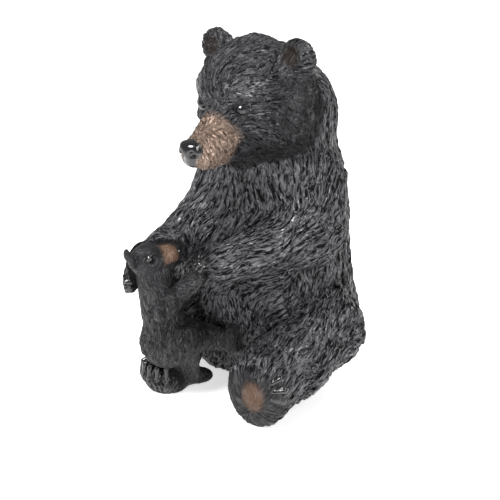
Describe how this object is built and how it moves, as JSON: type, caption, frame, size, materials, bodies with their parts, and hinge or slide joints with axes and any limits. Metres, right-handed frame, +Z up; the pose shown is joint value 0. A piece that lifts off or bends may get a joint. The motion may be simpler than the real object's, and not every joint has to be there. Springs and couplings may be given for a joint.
{
  "type": "resin bear mother and cub sculpture",
  "caption": "Seated black bear with her cub standing at her side and reaching up to her paws, one hollow resin casting with carved fur, flat underneath.",
  "frame": {"origin": "on the ground, under the middle of the figure's box", "axes": "+Z up, the mother bear faces -Y, her left side is towards +X"},
  "size_m": [0.3556, 0.381, 0.5842],
  "materials": {
    "painted_resin": "satin charcoal black cast resin with carved fur, tan muzzles and sole pad, glossy black noses, eyes and claws"
  },
  "bodies": {
    "root": {"mother_and_cub_casting": "painted_resin"}
  },
  "joints": []
}
